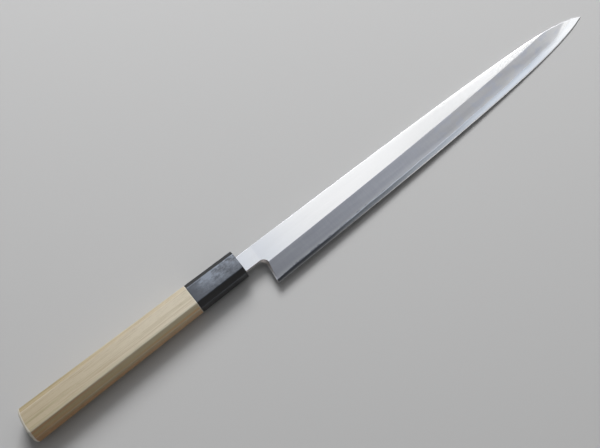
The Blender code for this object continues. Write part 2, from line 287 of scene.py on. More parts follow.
def extend(bm: BMesh, end: BMFace, move: Move) -> BMFace:
    """Draws an end face out of a solid.

    Args:
        bm: mesh of the solid.
        end: face that is drawn out, and is gone afterwards.
        move: where each of its corners goes.

    Returns:
        The new end face.
    """
    drawn = bmesh.ops.extrude_face_region(bm, geom=[end, *end.edges, *end.verts])["geom"]
    for vert in (item for item in drawn if isinstance(item, BMVert)):
        vert.co = move(vert.co)
    return next(item for item in drawn if isinstance(item, BMFace))


def end_face(bm: BMesh, side: int) -> BMFace:
    """Returns the face that lies furthest along X, in the direction of side."""
    return max(bm.faces, key=lambda face: side * face.calc_center_median().x)


def long_edges(bm: BMesh, length: float) -> list[BMEdge]:
    """Returns the edges that run along X for nearly the whole of a length."""
    return [edge for edge in bm.edges if abs(edge.verts[0].co.x - edge.verts[1].co.x) > NEARLY_WHOLE * length]


def skin(rings: Sequence[Sequence[Place]]) -> BMesh:
    """Lays a sheet over closed rings of points and shuts its seam.

    Args:
        rings: rings with the same number of points.

    Returns:
        The sheet. The face between points i and i + 1 of rings j and j + 1 has the index j * points + i.
    """
    count = len(rings[0])
    bm = bmesh.new()
    bmesh.ops.create_grid(bm, x_segments=count, y_segments=len(rings) - 1, size=1.0)
    bm.verts.ensure_lookup_table()
    bm.faces.ensure_lookup_table()
    for row, ring in enumerate(rings):
        for column in range(count + 1):
            bm.verts[row * (count + 1) + column].co = ring[column % count]
    return bm


def close(bm: BMesh) -> None:
    """Merges points that coincide, fills open ends and turns all faces outwards.

    Args:
        bm: mesh of a solid.
    """
    bmesh.ops.remove_doubles(bm, verts=bm.verts[:], dist=SAME_PLACE)
    bmesh.ops.dissolve_degenerate(bm, edges=bm.edges[:], dist=0.1 * SAME_PLACE)
    bmesh.ops.holes_fill(bm, edges=[edge for edge in bm.edges if edge.is_boundary], sides=0)
    bmesh.ops.recalc_face_normals(bm, faces=bm.faces[:])


def crease(bm: BMesh, limit: float = 30.0, borders: Collection[frozenset[int]] = ()) -> None:
    """Makes edges sharp and all else smooth.

    Args:
        bm: mesh whose edges are marked.
        limit: angle between two faces, in degrees, above which their edge is sharp.
        borders: pairs of material numbers between which an edge is sharp at any angle.
    """
    for face in bm.faces:
        face.smooth = True
    for edge in bm.edges:
        kinds = frozenset(face.material_index for face in edge.link_faces)
        turn = math.degrees(edge.calc_face_angle(0.0))
        edge.smooth = turn <= limit and kinds not in borders


def slid(x: float, high: float = 1.0, thick: float = 1.0) -> Move:
    """Returns the move of a section to x that scales its height and thickness about the axis."""
    return lambda co: Vector((x, co.y * high, co.z * thick))


def rounded(x: float, diameter: float) -> Move:
    """Moves a section onto a circle about the axis.

    Args:
        x: where the section goes.
        diameter: diameter of the circle.

    Returns:
        The move, as extend takes it.
    """

    def move(co: Vector) -> Vector:
        """Returns the point of the circle in the direction of co."""
        flat = Vector((co.y, co.z)).normalized() * 0.5 * diameter
        return Vector((x, flat.x, flat.y))

    return move


def squared(x: float, height: float, thickness: float, middle: Point = (0.0, 0.0)) -> Move:
    """Moves a section onto a rectangle.

    Args:
        x: where the section goes.
        height: height of the rectangle.
        thickness: thickness of the rectangle.
        middle: its middle, from the axis.

    Returns:
        The move, as extend takes it.
    """

    def move(co: Vector) -> Vector:
        """Returns the point of the rectangle in the direction of co."""
        reach = max(abs(co.y) / (0.5 * height), abs(co.z) / (0.5 * thickness))
        return Vector((x, middle[0] + co.y / reach, middle[1] + co.z / reach))

    return move


def piece(
    name: str, bm: BMesh, slot: Slot, node: str, finishes: Sequence[bpy.types.Material]
) -> bpy.types.Object:
    """Sets a finished mesh in the frame.

    Args:
        name: name of the piece.
        bm: its mesh on the knife's own axis, which is freed.
        slot: material slot of the record that it stands for; not used.
        node: CAD node that it stands for.
        finishes: its materials, in the order of the faces' material numbers.

    Returns:
        The piece, whose object sits at the origin.
    """
    bmesh.ops.transform(bm, matrix=Matrix.Translation(ORIGIN), verts=bm.verts[:])
    mesh = bpy.data.meshes.new(name)
    bm.to_mesh(mesh)
    bm.free()
    made = bpy.data.objects.new(name, mesh)
    bpy.context.scene.collection.objects.link(made)
    for finish in finishes:
        mesh.materials.append(finish)
    even = made.modifiers.new("flat_faces_stay_flat", "WEIGHTED_NORMAL")
    even.keep_sharp = True
    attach(made, "root")
    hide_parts(node)
    low, high = (Vector(side(v.co[k] for v in mesh.vertices) for k in range(3)) for side in (min, max))
    size = " x ".join(f"{1000 * part:.1f}" for part in high - low)
    LOG.info("%s: %d faces, %s mm, stands for %s", name, len(mesh.polygons), size, node)
    return made


# Handle


@dataclass(frozen=True)
class OctagonStock:
    """Tapered octagonal bar, planed through wood and horn in one go."""

    length: float = 0.1471
    butt_height: float = 0.0198
    butt_thickness: float = 0.0172
    butt_facet: float = 0.0038
    front_height: float = 0.0160
    front_thickness: float = 0.0139
    arris: float = 0.0005
    arris_steps: int = 3
    facet_blur: float = 0.0001

    @property
    def facet_loss(self) -> float:
        """Returns the share of its width that a slanting facet loses towards the front."""
        return 1.0 - self.front_height / self.butt_height

    def height(self, x: float) -> float:
        """Returns the height of the section at x."""
        return mix(self.butt_height, self.front_height, x / self.length)

    def thickness(self, x: float) -> float:
        """Returns the thickness of the section at x."""
        return mix(self.butt_thickness, self.front_thickness, x / self.length)

    def front_arris(self, x: "Wire | float") -> "Wire | float":
        """Returns the height above the axis of the front facet's arris at x."""
        change = 0.5 * (self.front_height - self.butt_height) + self.facet_loss * self.butt_facet
        return (change / self.length) * x + (0.5 * self.butt_height - self.butt_facet)

    def bar(self, start: float, end: float) -> BMesh:
        """Makes the bar with its facets and eased arrises, but still without its taper.

        Args:
            start: end of it towards the butt.
            end: end of it towards the tip.

        Returns:
            The mesh of the bar.
        """
        bm = bmesh.new()
        bmesh.ops.create_cube(bm, size=1.0)
        bmesh.ops.scale(bm, vec=(end - start, self.butt_height, self.butt_thickness), verts=bm.verts[:])
        bmesh.ops.translate(bm, vec=(0.5 * (start + end), 0.0, 0.0), verts=bm.verts[:])
        for offset, steps in ((self.butt_facet, 1), (self.arris, self.arris_steps)):
            edges = long_edges(bm, end - start)
            bmesh.ops.bevel(
                bm, geom=edges, offset=offset, segments=steps, profile=0.5, affect="EDGES", material=-1
            )
        return bm

    def round_end(self, bm: BMesh, side: int, radius: float, steps: int) -> BMFace:
        """Rounds the rim at one end of a bar.

        Args:
            bm: mesh of the bar.
            side: 1 for the end towards the tip and -1 for the butt.
            radius: radius of the rounding.
            steps: number of bands that it has.

        Returns:
            The new end face.
        """
        end, inset = end_face(bm, side), 0.0
        start = end.calc_center_median().x
        for step in range(1, steps + 1):
            turn = 0.5 * math.pi * step / steps
            x, further = start + side * radius * math.sin(turn), radius * (1.0 - math.cos(turn))
            end = extend(bm, end, self.shrunk(x, inset, further))
            inset = further
        return end

    def shrunk(self, x: float, inset: float, further: float) -> Move:
        """Moves a section inwards.

        Args:
            x: where the section goes.
            inset: how far its outline already lies inside the bar's.
            further: how far its outline lies inside the bar's afterwards.

        Returns:
            The move, as extend takes it.
        """
        high = (0.5 * self.butt_height - further) / (0.5 * self.butt_height - inset)
        thick = (0.5 * self.butt_thickness - further) / (0.5 * self.butt_thickness - inset)
        return slid(x, high, thick)

    def taper(self, bm: BMesh) -> None:
        """Planes a bar to its taper.

        Args:
            bm: mesh of the bar.
        """
        for vert in bm.verts:
            vert.co.y *= self.height(vert.co.x) / self.butt_height
            vert.co.z *= self.thickness(vert.co.x) / self.butt_thickness

    def masks(self, graph: Graph, place: Wire, width: float) -> tuple[Wire, Wire]:
        """Tells the parts of the bar's surface apart.

        Args:
            graph: tree that the nodes go into.
            place: place on the knife's own axis.
            width: how far an arris reaches into its facets.

        Returns:
            A wire that is 1 on the arrises, and one that is 1 on the front and back facets.
        """
        x, y, z = graph.split(place)
        share = x / self.length
        side = abs(y) - 0.5 * self.butt_height - 0.5 * (self.front_height - self.butt_height) * share
        front = abs(z) - 0.5 * self.butt_thickness
        front = front - 0.5 * (self.front_thickness - self.butt_thickness) * share
        corner = (side + front + self.butt_facet * (1.0 - self.facet_loss * share)) * math.sqrt(0.5)
        outer = side.most(front).most(corner)
        middle = side.least(front).most(side.most(front).least(corner))
        return middle.ease(-width, 0.0), (front - outer).ease(-self.facet_blur, 0.0)


@dataclass(frozen=True)
class Magnolia:
    """Planed, unvarnished magnolia: pale, with straight fine grain and faint green and yellow streaks.

    Each grain is in waves to a metre. Two tones multiply the colour of the wood as painted shade, darker
    towards the butt, more on the upper facets and browner on the lower ones. The arrises and end rims are
    lightened as painted highlights.
    """

    name: str
    pale: Colour = (0.655, 0.590, 0.468)
    deep: Colour = (0.490, 0.410, 0.290)
    streak: Colour = (0.505, 0.500, 0.345)
    # Brown of the painted shade on the lower facets.
    painted_shade_brown: Colour = (0.580, 0.348, 0.172)
    # Colour of the painted highlights on the arrises and end rims.
    painted_highlight: Colour = (0.760, 0.725, 0.650)
    # Tones of the painted shade towards the butt, the second one for the lower facets.
    butt_shade: Colour = (0.665, 0.600, 0.475)
    butt_shade_low: Colour = (0.680, 0.550, 0.390)
    pore: Colour = (0.330, 0.255, 0.160)
    pith: Point = (0.021, -0.064)
    ring_width: float = 0.0023
    ring_drift: float = 0.0050
    drift_grain: Place = (9.0, 34.0, 34.0)
    fibre_grain: Place = (26.0, 1500.0, 1500.0)
    board_grain: Place = (7.0, 190.0, 190.0)
    pore_grain: Place = (210.0, 4600.0, 4600.0)
    streak_grain: Place = (4.0, 260.0, 260.0)
    arris_width: float = 0.0006
    bold_reach: float = 0.075
    butt_shade_reach: Point = (-0.010, 0.120)
    butt_rim: Point = (0.0009, 0.0014)
    seat_rim: float = 0.0007
    roughness: float = 0.56
    relief: float = 0.00006

    def material(self, handle: "WoodHandle") -> bpy.types.Material:
        """Makes the material.

        Args:
            handle: handle whose facets, dome and seat it follows.

        Returns:
            The material.
        """
        graph = Graph.material(self.name)
        place = graph.place()
        x, y, z = graph.split(place)
        drift = graph.noise(place, self.drift_grain, 2.0) - 0.5
        radius = ((y - self.pith[0]) ** 2.0 + (z - self.pith[1]) ** 2.0) ** 0.5
        phase = ((radius + self.ring_drift * drift) / self.ring_width) % 1.0
        late = phase.ease(0.25, 0.92) - phase.ease(0.93, 1.0)
        fibre = graph.noise(place, self.fibre_grain, 3.0, 0.6)
        board = graph.noise(place, self.board_grain, 2.0)
        pores = graph.noise(place, self.pore_grain, 1.0).ease(0.62, 0.74)
        streaks = graph.noise(place, self.streak_grain, 1.0).ease(0.50, 0.68)
        arris, facet = handle.stock.masks(graph, place, self.arris_width)
        below = y + handle.stock.front_arris(x)
        low = (1.0 - facet) * (1.0 - below.ease(-0.0012, -0.0003))
        high = (1.0 - facet) * y.ease(0.002, 0.006)

        bold = 0.75 + 0.20 * (1.0 - x.ease(0.0, self.bold_reach))
        tone = 0.42 * late + bold * (fibre.ease(0.34, 0.68) - 0.34) + 0.50 * (board.ease(0.35, 0.65) - 0.5)
        # The side facets are toned deeper, partly as rings cut across and partly as painted shade.
        colour = graph.tint(self.pale, self.deep, tone + 0.15 * (1.0 - facet))
        # Painted shade: the lower facets are tinted brown.
        colour = graph.tint(colour, self.painted_shade_brown, 0.82 * low)
        colour = graph.tint(colour, self.streak, 0.65 * streaks)
        colour = graph.tint(colour, self.pore, 0.36 * pores)
        # Painted shade: darker towards the butt, more on the upper facets and browner on the lower ones.
        butt_shading = (0.75 + 0.42 * high) * (1.0 - x.ease(*self.butt_shade_reach))
        butt_shade_colour = graph.tint(self.butt_shade, self.butt_shade_low, low)
        colour = graph.tint(colour, butt_shade_colour, butt_shading.least(1.0), "MULTIPLY")
        # Painted highlight: the butt's rim, the front end's rim and the arrises are lightened.
        butt = 1.0 - (x - handle.dome(y, z)).ease(*self.butt_rim)
        ends = butt.most(x.ease(handle.seat - self.seat_rim, handle.seat))
        colour = graph.tint(colour, self.painted_highlight, (0.20 * arris).most(0.80 * ends))
        return graph.surface(
            {
                "Base Color": colour,
                "Roughness": self.roughness + 0.14 * fibre,
                "IOR": 1.47,
                "Normal": graph.relief(0.5 * fibre - 0.5 * pores, self.relief),
            }
        )


@dataclass(frozen=True)
class BuffaloHorn:
    """Dark horn, nearly black, with fine streaks, and blue-grey clouds on its polished front and back facets
    that are partly its own and partly a painted sheen.

    Each grain is in waves to a metre. The clouds fade towards the wood, and they fade towards the lower side
    and are kept off the side facets as painted shade.
    """

    name: str = "buffalo_horn_polished"
    dark: Colour = (0.0045, 0.0045, 0.0055)
    cloud_and_sheen: Colour = (0.200, 0.236, 0.295)
    haze: Colour = (0.020, 0.027, 0.042)
    warm: Colour = (0.075, 0.066, 0.060)
    cloud_grain: Place = (90.0, 190.0, 190.0)
    mottle_grain: Place = (420.0, 620.0, 620.0)
    streak_grain: Place = (30.0, 1100.0, 1100.0)
    arris_width: float = 0.0005
    arris_highlight_from: float = 0.0030
    cloudy_from: Point = (0.030, 0.018)
    sheen_fade_height: float = 0.0065
    relief: float = 0.000012

    def material(self, stock: OctagonStock) -> bpy.types.Material:
        """Makes the material.

        Args:
            stock: bar whose facets and arrises it follows.

        Returns:
            The material.
        """
        graph = Graph.material(self.name)
        place = graph.place()
        clouds = graph.noise(place, self.cloud_grain, 4.0, 0.62)
        mottle = graph.noise(place, self.mottle_grain, 3.0, 0.6)
        streaks = graph.noise(place, self.streak_grain, 2.0)
        x, y, _ = graph.split(place)
        arris, facet = stock.masks(graph, place, self.arris_width)
        start, full = (stock.length - back for back in self.cloudy_from)
        # The horn's clouds are lightened into a painted sheen. They are darker towards the lower side and
        # kept off the side facets as painted shade.
        cloud_and_sheen_share = 0.62 * clouds.ease(0.34, 0.66) + 0.50 * mottle.ease(0.36, 0.68)
        cloud_and_sheen_share = cloud_and_sheen_share * (0.10 + 0.90 * x.ease(start, full))
        cloud_and_sheen_share = cloud_and_sheen_share * (0.35 + 1.25 * y.ease(-self.sheen_fade_height, self.sheen_fade_height))
        shown = graph.tint(self.haze, self.cloud_and_sheen, cloud_and_sheen_share)
        shown = graph.tint(shown, self.warm, 0.35 * streaks.ease(0.50, 0.72))
        colour = graph.tint(self.dark, shown, facet.most(0.5 * arris))
        # Painted highlight: the upper arrises are lightened with the blue-grey.
        colour = graph.tint(colour, self.cloud_and_sheen, 0.55 * arris * y.ease(0.0, self.arris_highlight_from))
        return graph.surface(
            {
                "Base Color": colour,
                "Roughness": 0.22 + 0.14 * clouds + 0.06 * streaks,
                "IOR": 1.54,
                "Coat Weight": 0.05 + 0.70 * facet,
                "Coat Roughness": 0.18,
                "Coat IOR": 1.6,
                "Normal": graph.relief(streaks, self.relief),
            }
        )


@dataclass(frozen=True)
class WoodHandle:
    """Octagonal magnolia handle with a crowned, slanting butt, a round tenon and the tang's burnt socket."""

    stock: OctagonStock
    seat: float = 0.1148
    end_ease: float = 0.0004
    butt_slant: float = math.radians(5.5)
    butt_crown: float = 0.0011
    butt_ease: float = 0.0013
    butt_steps: int = 7
    facet_cuts: int = 7
    crown_rings: tuple[float, ...] = (0.86, 0.68, 0.48, 0.26)
    tenon_diameter: float = 0.0110
    tenon_end: float = 0.1418
    tenon_lead: float = 0.0006
    socket_mouth: Point = (0.0084, 0.0030)
    socket_floor: Point = (0.0048, 0.0022)
    socket_end: float = 0.0468
    pilot_diameter: float = 0.0042
    pilot_end: float = 0.0391
    wall_cuts: int = 14
    across_facet: Point = (0.002, 0.020)
    end_grain_facing: float = 0.8
    end_grain_reach: float = 0.010

    def build(self) -> bpy.types.Object:
        """Builds the handle.

        Returns:
            The finished handle.
        """
        bm = self.stock.bar(self.butt_ease, self.seat - self.end_ease)
        least, most = self.across_facet
        facets = [edge for edge in bm.edges if least < edge.calc_length() < most]
        bmesh.ops.subdivide_edges(bm, edges=facets, cuts=self.facet_cuts)
        self.shape_butt(bm)
        front = self.stock.round_end(bm, 1, self.end_ease, 3)
        self.stock.taper(bm)
        self.shape_tenon(bm, front)
        bmesh.ops.subdivide_edges(bm, edges=long_edges(bm, self.seat), cuts=self.wall_cuts)
        bmesh.ops.recalc_face_normals(bm, faces=bm.faces[:])
        for face in bm.faces:
            at_butt = face.calc_center_median().x < self.end_grain_reach
            face.material_index = int(at_butt and face.normal.x < -self.end_grain_facing)
        crease(bm)
        along = Magnolia("magnolia_planed")
        across = Magnolia("magnolia_end_grain", (0.610, 0.535, 0.405), (0.470, 0.385, 0.262), roughness=0.66)
        finishes = [finish.material(self) for finish in (along, across)]
        return piece("handle_of_magnolia", bm, Slot.WOOD, "wood_handle", finishes)

    def shape_butt(self, bm: BMesh) -> None:
        """Rounds the rim of the butt, then domes its face and slants both.

        Args:
            bm: mesh of the bar.
        """
        stock = self.stock
        slope = math.atan2(2.0 * self.butt_crown, 0.5 * stock.butt_thickness)
        end, inset = end_face(bm, -1), 0.0
        for step in range(1, self.butt_steps + 1):
            turn = mix(0.5 * math.pi, slope, step / self.butt_steps)
            rim, further = self.butt_ease * (1.0 - math.cos(turn)), self.butt_ease * (1.0 - math.sin(turn))
            end = extend(bm, end, stock.shrunk(rim, inset, further))
            inset = further
        for ring, before in zip(self.crown_rings, (1.0, *self.crown_rings)):
            end = extend(bm, end, slid(rim, ring / before, ring / before))
        bmesh.ops.poke(bm, faces=[end])
        for vert in bm.verts:
            if vert.co.x < 2.0 * self.butt_ease:
                vert.co.x += self.dome(vert.co.y, vert.co.z)

    def dome(self, y: "Wire | float", z: "Wire | float") -> "Wire | float":
        """Returns how far the butt's slanting dome lies behind the middle of its rim."""
        reach = (y * y + z * z) / (0.5 * self.stock.butt_thickness) ** 2.0
        return self.butt_crown * (reach - 1.0) + math.tan(self.butt_slant) * y

    def shape_tenon(self, bm: BMesh, end: BMFace) -> None:
        """Draws the tenon out of the front end, and the socket and pilot hole into it.

        Args:
            bm: mesh of the handle.
            end: its front face.
        """
        lead = (self.tenon_diameter - 2.0 * self.tenon_lead) / self.tenon_diameter
        steps = (
            rounded(self.seat, self.tenon_diameter),
            slid(self.tenon_end - self.tenon_lead),
            slid(self.tenon_end, lead, lead),
            squared(self.tenon_end, *self.socket_mouth),
            squared(self.socket_end, *self.socket_floor),
            rounded(self.socket_end, self.pilot_diameter),
            slid(self.pilot_end),
        )
        for step in steps:
            end = extend(bm, end, step)


@dataclass(frozen=True)
class HornFerrule:
    """Octagonal ferrule: a blind bore for the tenon, and a slot for the neck through its front wall."""

    stock: OctagonStock
    seat: float = 0.1149
    face: float = 0.1471
    back_ease: float = 0.0002
    front_ease: float = 0.0004
    front_wall: float = 0.0050
    bore: float = 0.0116
    slot_size: Point = (0.01105, 0.0037)
    slot_middle: Point = (-0.000975, 0.00015)
    wall_cuts: int = 6

    def build(self) -> bpy.types.Object:
        """Builds the ferrule.

        Returns:
            The finished ferrule.
        """
        bm = self.stock.bar(self.seat + self.back_ease, self.face - self.front_ease)
        back = self.stock.round_end(bm, -1, self.back_ease, 2)
        front = self.stock.round_end(bm, 1, self.front_ease, 4)
        self.stock.taper(bm)
        for step in (
            squared(self.face, *self.slot_size, self.slot_middle),
            slid(self.face - self.front_wall),
            rounded(self.face - self.front_wall, self.bore),
            slid(self.seat),
        ):
            front = extend(bm, front, step)
        rims = [*back.edges, *front.edges]
        bmesh.ops.delete(bm, geom=[back, front], context="FACES_ONLY")
        bmesh.ops.bridge_loops(bm, edges=rims)
        bmesh.ops.subdivide_edges(bm, edges=long_edges(bm, self.face - self.seat), cuts=self.wall_cuts)
        bmesh.ops.recalc_face_normals(bm, faces=bm.faces[:])
        crease(bm)
        return piece("ferrule_of_horn", bm, Slot.HORN, "horn_ferrule", [BuffaloHorn().material(self.stock)])


# Blade


def curve_point(start: Point, start_pull: Point, end: Point, end_pull: Point, t: float) -> Point:
    """Finds a point on a cubic curve.

    Args:
        start: where the curve starts.
        start_pull: angle at which it leaves, and how far that reaches.
        end: where it ends.
        end_pull: angle at which it arrives, and how far that reaches.
        t: share of the curve, from 0 to 1.

    Returns:
        The point.
    """
    (leaving, start_reach), (arriving, end_reach) = start_pull, end_pull
    first = (start[0] + start_reach * math.cos(leaving), start[1] + start_reach * math.sin(leaving))
    second = (end[0] - end_reach * math.cos(arriving), end[1] - end_reach * math.sin(arriving))
    weights = ((1 - t) ** 3, 3 * t * (1 - t) ** 2, 3 * t * t * (1 - t), t**3)
    x, y = (sum(w * p[axis] for w, p in zip(weights, (start, first, second, end))) for axis in (0, 1))
    return x, y


@dataclass(frozen=True)
class Station:
    """Cut through the blade, from its lower outline to the spine, that may lean towards the tip in front."""

    low: Point
    top_x: float
    lean: float = 0.0


class Zone(IntEnum):
    """Surfaces of the blade, in the order of its materials."""

    FLAT = 0
    BEVEL = 1
    EDGE = 2
    SPINE = 3
    RIM = 4
    HOLLOW = 5
    NOTCH = 6
    FORGED = 7


SHARP_BORDERS = {
    frozenset(pair) for pair in ((Zone.EDGE, Zone.BEVEL), (Zone.RIM, Zone.HOLLOW), (Zone.RIM, Zone.EDGE))
}


Ring = list[tuple[Vector, Zone, float]]


@dataclass(frozen=True)
class SectionPoint:
    """Point of a section, with the surface that starts there."""

    y: float
    z: float
    zone: Zone


@dataclass(frozen=True)
class BladeForm:
    """Outline and section of the blade before it is parted into iron and steel.

    A pull is the angle of a curve at its end and how far that reaches. The weld's waves are each given as
    turns to a metre, start and share, and its swell as middle, reach and height.
    """

    ferrule_face: float = 0.1471
    shoulder: float = 0.1421
    heel: float = 0.1576
    tip: float = 0.3917
    spine_height: float = 0.00425
    tip_height: float = -0.00675
    spine_pull: Point = (math.radians(-0.33), 0.2000)
    spine_tip_pull: Point = (math.radians(-29.0), 0.0170)
    heel_height: float = 0.02675
    edge_pull: Point = (math.radians(1.2), 0.1310)
    edge_tip_pull: Point = (math.radians(26.1), 0.0206)
    neck_height: float = 0.01045
    neck_fillet: float = 0.0036
    heel_rake: float = math.radians(6.2)
    heel_slope: float = math.radians(29.0)
    neck_thickness: float = 0.0031
    heel_thickness: float = 0.0028
    tip_thickness: float = 0.0015
    taper_power: float = 1.15
    back: float = -0.0014
    bevel_at_heel: float = 0.0126
    bevel_at_tip: float = 0.0121
    bevel_tip_loss: float = 0.0020
    bevel_loss_power: float = 8.0
    micro_bevel: float = 0.0005
    micro_bevel_angle: float = math.radians(18.0)
    spine_ease: float = 0.0004
    spine_turns: Place = (0.3, 0.6, 0.85)
    back_corner: Point = (0.6, 0.18)
    ridge_ease: float = 0.00010
    wheel_radius: float = 0.2400
    rim_at_spine: float = 0.0020
    rim_at_edge: float = 0.0016
    hollow_from_heel: float = 0.0050
    hollow_from_tip: float = 0.0140
    hollow_heel_end: float = 0.0120
    hollow_tip_end: float = 0.0300
    hollow_least: float = 0.05
    steel_at_heel: float = 0.00053
    steel_at_tip: float = 0.00063
    steel_start: float = 0.1516
    weld_wander: float = 0.000016
    weld_waves: tuple[Place, ...] = ((148.0, 0.6, 1.0), (331.0, 2.1, 0.7), (701.0, 0.0, 0.45))
    weld_swell: Place = (0.2280, 0.0240, 0.000060)
    point_length: float = 0.0005
    point_lift: float = 0.00004
    band_steps: int = 3
    bevel_steps: int = 8
    flat_steps: int = 4
    hollow_steps: int = 16
    neck_cuts: Point = (0.1442, 0.1492)
    leaning_cut: Place = (0.1538, 0.1540, 0.4)
    notch_steps: int = 12
    notch_top: float = 0.0006
    lean_rounds: int = 3
    fine_cut: float = 0.0007
    coarse_cut: float = 0.0018
    cut_growth: float = 1.12
    end_reach: float = 0.0300

    @property
    def edge_at_heel(self) -> float:
        """Returns the height of the cutting edge at the heel."""
        return self.spine_height - self.heel_height

    @property
    def neck_bottom(self) -> float:
        """Returns the height of the neck's underside."""
        return self.spine_height - self.neck_height

    def height_on(self, curve: Callable[[float], Point], x: float) -> float:
        """Finds the height of a curve by halving.

        Args:
            curve: gives the curve's point for a share from 0 to 1, and runs steadily along X.
            x: where its height is wanted.

        Returns:
            The height.
        """
        low, high = 0.0, 1.0
        for _ in range(HALVINGS):
            middle = 0.5 * (low + high)
            low, high = (middle, high) if curve(middle)[0] < x else (low, middle)
        return curve(0.5 * (low + high))[1]

    def spine_y(self, x: float) -> float:
        """Finds the height of the spine.

        Args:
            x: place along the axis.

        Returns:
            The height.
        """
        if x <= self.ferrule_face:
            return self.spine_height
        start, end = (self.ferrule_face, self.spine_height), (self.tip, self.tip_height)
        return self.height_on(lambda t: curve_point(start, self.spine_pull, end, self.spine_tip_pull, t), x)

    def edge_y(self, x: float) -> float:
        """Finds the height of the cutting edge.

        Args:
            x: place along the axis.

        Returns:
            The height.
        """
        if x <= self.heel:
            return self.edge_at_heel
        start, end = (self.heel, self.edge_at_heel), (self.tip, self.tip_height)
        return self.height_on(lambda t: curve_point(start, self.edge_pull, end, self.edge_tip_pull, t), x)

    def thickness(self, x: float) -> float:
        """Finds the height of the flat front above the back.

        Args:
            x: place along the axis.

        Returns:
            The height.
        """
        if x < self.heel:
            share = (x - self.shoulder) / (self.heel - self.shoulder)
            return mix(self.neck_thickness, self.heel_thickness, share)
        left = max(0.0, (self.tip - x) / (self.tip - self.heel))
        return self.tip_thickness + (self.heel_thickness - self.tip_thickness) * left**self.taper_power

    def weld_z(self, x: float) -> float:
        """Finds the height of the weld, which wanders under the smith's hammer and swells in one place.

        Args:
            x: place along the axis.

        Returns:
            The height.
        """
        rise = (self.steel_at_tip - self.steel_at_heel) / (self.tip - self.heel)
        wander = sum(share * math.sin(x * turns + start) for turns, start, share in self.weld_waves)
        middle, reach, height = self.weld_swell
        swell = height * math.exp(-(((x - middle) / reach) ** 2))
        return self.back + self.steel_at_heel + rise * (x - self.heel) + self.weld_wander * wander + swell

    def hollow_share(self, x: float) -> float:
        """Finds how much of its full width the back's hollow has, with both ends rounded.

        Args:
            x: place along the axis.

        Returns:
            The share, from 0 to 1.
        """
        start, end = self.heel + self.hollow_from_heel, self.tip - self.hollow_from_tip
        reach = min((x - start) / self.hollow_heel_end, (end - x) / self.hollow_tip_end, 1.0)
        return math.sqrt(max(0.0, 1.0 - (1.0 - reach) ** 2)) if reach > 0 else 0.0

    def ridge_y(self, x: float) -> float:
        """Finds the height of the ridge between the bevel and the flat.

        Args:
            x: place along the axis.

        Returns:
            The height.
        """
        share = clamp((x - self.heel) / (self.tip - self.heel), 0.0, 1.0)
        lost = self.bevel_tip_loss * share**self.bevel_loss_power
        return self.edge_y(x) + mix(self.bevel_at_heel, self.bevel_at_tip, share) - lost

    def section(self, x: float) -> tuple[list[SectionPoint], float]:
        """Draws the section of the blade. Near the tip its small surfaces shrink with it.

        Args:
            x: place along the axis.

        Returns:
            The loop of its points, from the edge over the front to the back, and the weld line's height.
        """
        top, edge = self.spine_y(x), self.edge_y(x)
        tall = top - edge
        micro = min(self.micro_bevel, 0.25 * tall)
        micro_z = self.back + micro * math.tan(self.micro_bevel_angle)
        flat_z = self.back + self.thickness(x)
        ridge = self.ridge_y(x)

        def front_z(y: float) -> float:
            """Returns the height of the front at y."""
            return min(flat_z, mix(micro_z, flat_z, (y - edge - micro) / (ridge - edge - micro)))

        ease = min(self.spine_ease, 0.12 * tall, 0.3 * (front_z(top) - self.back))
        shoulder = top - ease
        ridge_y = min(ridge, shoulder - 0.03 * tall)
        weld = mix(edge + micro, ridge, (self.weld_z(x) - micro_z) / (flat_z - micro_z))
        weld_y = clamp(weld, edge + micro, ridge_y)
        soft = min(self.ridge_ease, 0.3 * (ridge_y - weld_y), 0.01 * tall)

        loop = [SectionPoint(edge, self.back, Zone.EDGE)]
        for step in range(self.band_steps):
            y = mix(edge + micro, weld_y, step / self.band_steps)
            loop.append(SectionPoint(y, front_z(y), Zone.BEVEL))
        for step in range(self.bevel_steps + 1):
            y = mix(weld_y, ridge_y - soft, step / self.bevel_steps)
            loop.append(SectionPoint(y, front_z(y), Zone.BEVEL))
        for step in range(self.flat_steps + 1):
            y = mix(ridge_y + soft, shoulder, step / self.flat_steps)
            zone = Zone.SPINE if step == self.flat_steps else Zone.FLAT
            loop.append(SectionPoint(y, front_z(y), zone))
        for turn in self.spine_turns:
            angle = 0.5 * math.pi * turn
            y, z = shoulder + ease * math.sin(angle), front_z(shoulder) - ease * (1.0 - math.cos(angle))
            loop.append(SectionPoint(y, z, Zone.SPINE))
        loop.append(SectionPoint(top, front_z(top) - ease, Zone.SPINE))
        corner, cut = (share * ease for share in self.back_corner)
        loop.append(SectionPoint(top, self.back + corner, Zone.SPINE))
        loop.append(SectionPoint(top - cut, self.back + cut, Zone.SPINE))
        loop.append(SectionPoint(top - corner, self.back, Zone.RIM))

        upper = top - min(self.rim_at_spine, 0.25 * tall)
        lower = edge + min(self.rim_at_edge, 0.2 * tall)
        middle, half = 0.5 * (upper + lower), 0.5 * (upper - lower)
        open_half = half * max(self.hollow_least, self.hollow_share(x))
        depth = open_half**2 / (2 * self.wheel_radius) if self.hollow_share(x) > 0 else 0.0
        for step in range(self.hollow_steps + 1):
            across = 1.0 - 2.0 * step / self.hollow_steps
            zone = Zone.RIM if step == self.hollow_steps else Zone.HOLLOW
            z = self.back + depth * (1.0 - across * across)
            loop.append(SectionPoint(middle + across * open_half, z, zone))
        return loop, weld_y

